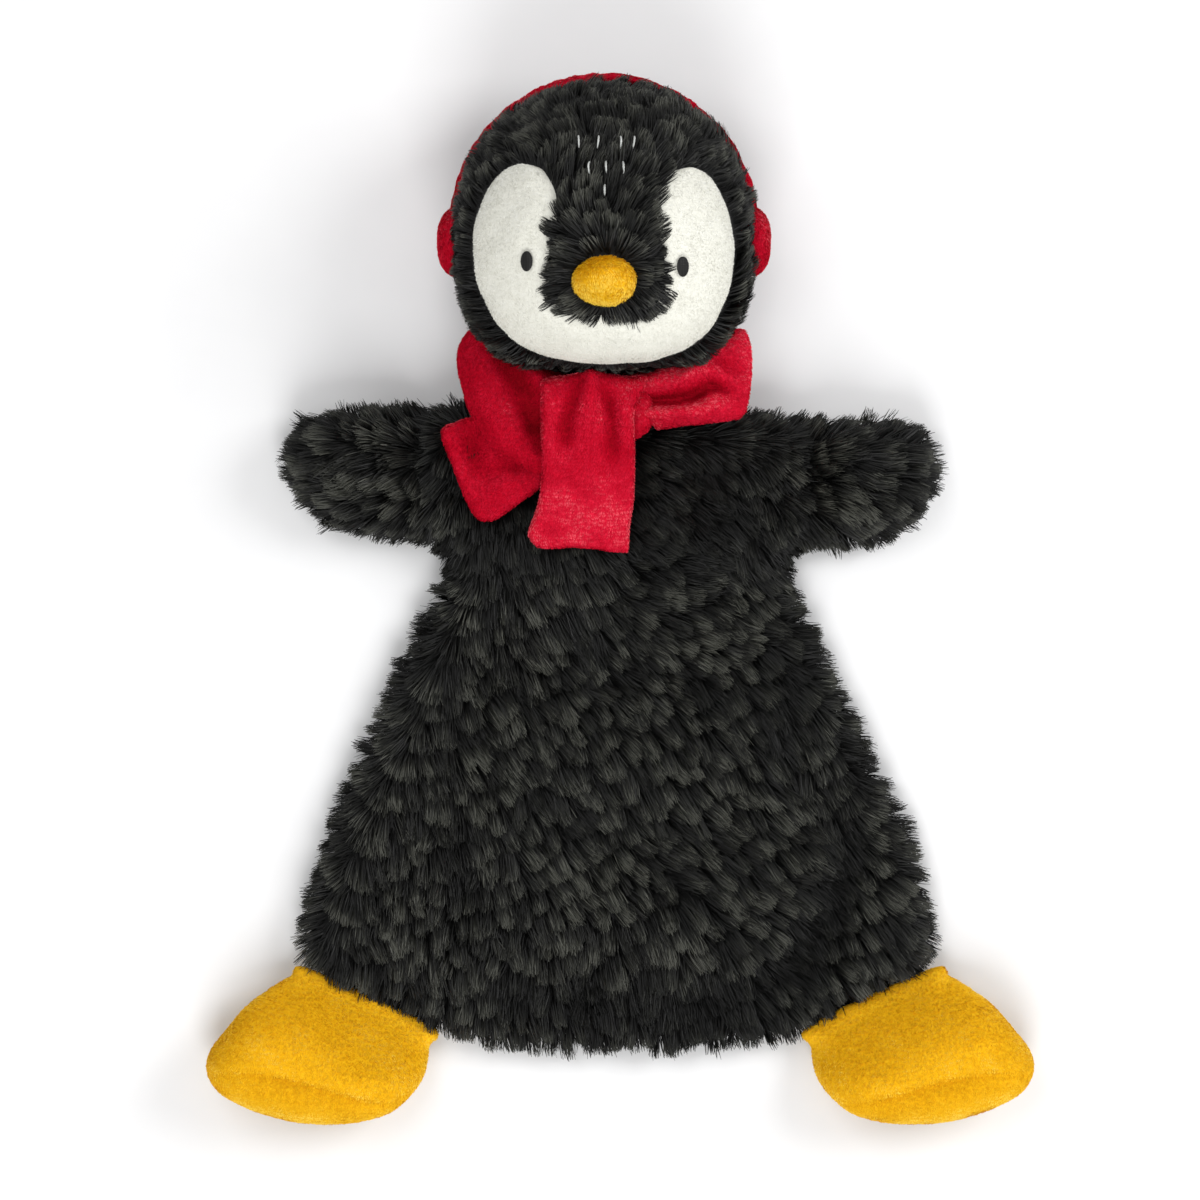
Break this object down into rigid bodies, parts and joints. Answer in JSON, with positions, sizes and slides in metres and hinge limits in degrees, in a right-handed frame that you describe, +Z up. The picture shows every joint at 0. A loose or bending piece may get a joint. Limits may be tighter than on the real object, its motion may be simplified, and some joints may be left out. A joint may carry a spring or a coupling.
{
  "type": "plush penguin",
  "caption": "Soft penguin comforter toy that lies flat: round furry head with a white face and beak, ear muffs, knotted scarf, short arms, flat fur skirt and stuffed feet.",
  "frame": {"origin": "on the table, under the middle of the toy's box, with the toy lying on its back", "axes": "+Z up off the table, out of the face; +Y from the feet towards the head; +X to the right of someone who looks down at the face"},
  "size_m": [0.2406, 0.3022, 0.0748],
  "materials": {
    "charcoal_fur": "long pile faux fur",
    "white_velboa": "short pile plush",
    "yellow_velboa": "short pile plush",
    "red_velboa": "short pile plush",
    "grey_thread": "embroidery thread",
    "dark_thread": "satin stitch embroidery",
    "stuffing": "polyester fibre"
  },
  "bodies": {
    "torso": {"torso_front_panel": "charcoal_fur", "torso_back_panel": "charcoal_fur", "torso_filling": "stuffing", "scarf_neck_loop": "red_velboa", "scarf_left_lobe": "red_velboa", "scarf_right_lobe": "red_velboa", "scarf_knot": "red_velboa"},
    "skirt": {"skirt_front_panel": "charcoal_fur", "skirt_back_panel": "charcoal_fur", "skirt_filling": "stuffing"},
    "arm_left": {"arm_left_front_panel": "charcoal_fur", "arm_left_back_panel": "charcoal_fur", "arm_left_filling": "stuffing"},
    "arm_right": {"arm_right_front_panel": "charcoal_fur", "arm_right_back_panel": "charcoal_fur", "arm_right_filling": "stuffing"},
    "foot_left": {"foot_left_top_panel": "yellow_velboa", "foot_left_sole_panel": "yellow_velboa", "foot_left_filling": "stuffing"},
    "foot_right": {"foot_right_top_panel": "yellow_velboa", "foot_right_sole_panel": "yellow_velboa", "foot_right_filling": "stuffing"},
    "neck": {"neck_sleeve": "charcoal_fur"},
    "head": {"head_front_panel": "charcoal_fur", "head_back_panel": "charcoal_fur", "head_filling": "stuffing", "face_patch": "white_velboa", "beak_cover": "yellow_velboa", "beak_filling": "stuffing", "eye_left": "dark_thread", "eye_right": "dark_thread", "forehead_stitch_1": "grey_thread", "forehead_stitch_2": "grey_thread", "forehead_stitch_3": "grey_thread", "forehead_stitch_4": "grey_thread", "forehead_stitch_5": "grey_thread", "forehead_stitch_6": "grey_thread", "forehead_stitch_7": "grey_thread", "forehead_stitch_8": "grey_thread", "earmuff_band": "red_velboa", "ear_cup_left": "red_velboa", "ear_cup_right": "red_velboa"},
    "scarf_front_tail": {"scarf_front_tail": "red_velboa"},
    "scarf_side_tail": {"scarf_side_tail": "red_velboa"}
  },
  "joints": [
    {"name": "waist_fold", "type": "hinge", "parent": "torso", "child": "skirt", "pos_m": [0, 0.009, 0.0075], "axis": [-1, 0, 0], "range_deg": [-45, 80]},
    {"name": "shoulder_left", "type": "hinge", "parent": "torso", "child": "arm_left", "pos_m": [-0.055, 0.0365, 0.009], "axis": [0, 1, 0], "range_deg": [-40, 60]},
    {"name": "shoulder_right", "type": "hinge", "parent": "torso", "child": "arm_right", "pos_m": [0.051, 0.0365, 0.009], "axis": [0, -1, 0], "range_deg": [-40, 60]},
    {"name": "ankle_left", "type": "hinge", "parent": "skirt", "child": "foot_left", "pos_m": [-0.07375, -0.1159, 0.0065], "axis": [-0.8887, 0.4585, 0], "range_deg": [-45, 65]},
    {"name": "ankle_right", "type": "hinge", "parent": "skirt", "child": "foot_right", "pos_m": [0.07375, -0.1159, 0.0065], "axis": [-0.8887, -0.4585, 0], "range_deg": [-45, 65]},
    {"name": "neck_nod", "type": "hinge", "parent": "torso", "child": "neck", "pos_m": [-0.003, 0.0625, 0.012], "axis": [1, 0, 0], "range_deg": [-25, 25]},
    {"name": "head_turn", "type": "hinge", "parent": "neck", "child": "head", "pos_m": [-0.0042, 0.0625, 0.03], "axis": [0, 1, 0], "range_deg": [-35, 35]},
    {"name": "front_tail_lift", "type": "hinge", "parent": "torso", "child": "scarf_front_tail", "pos_m": [-0.011, 0.0505, 0.0368], "axis": [-1, 0, 0], "range_deg": [0, 100]},
    {"name": "side_tail_lift", "type": "hinge", "parent": "torso", "child": "scarf_side_tail", "pos_m": [-0.03475, 0.0425, 0.0233], "axis": [-0.7791, 0.6118, -0.1368], "range_deg": [0, 60]}
  ]
}
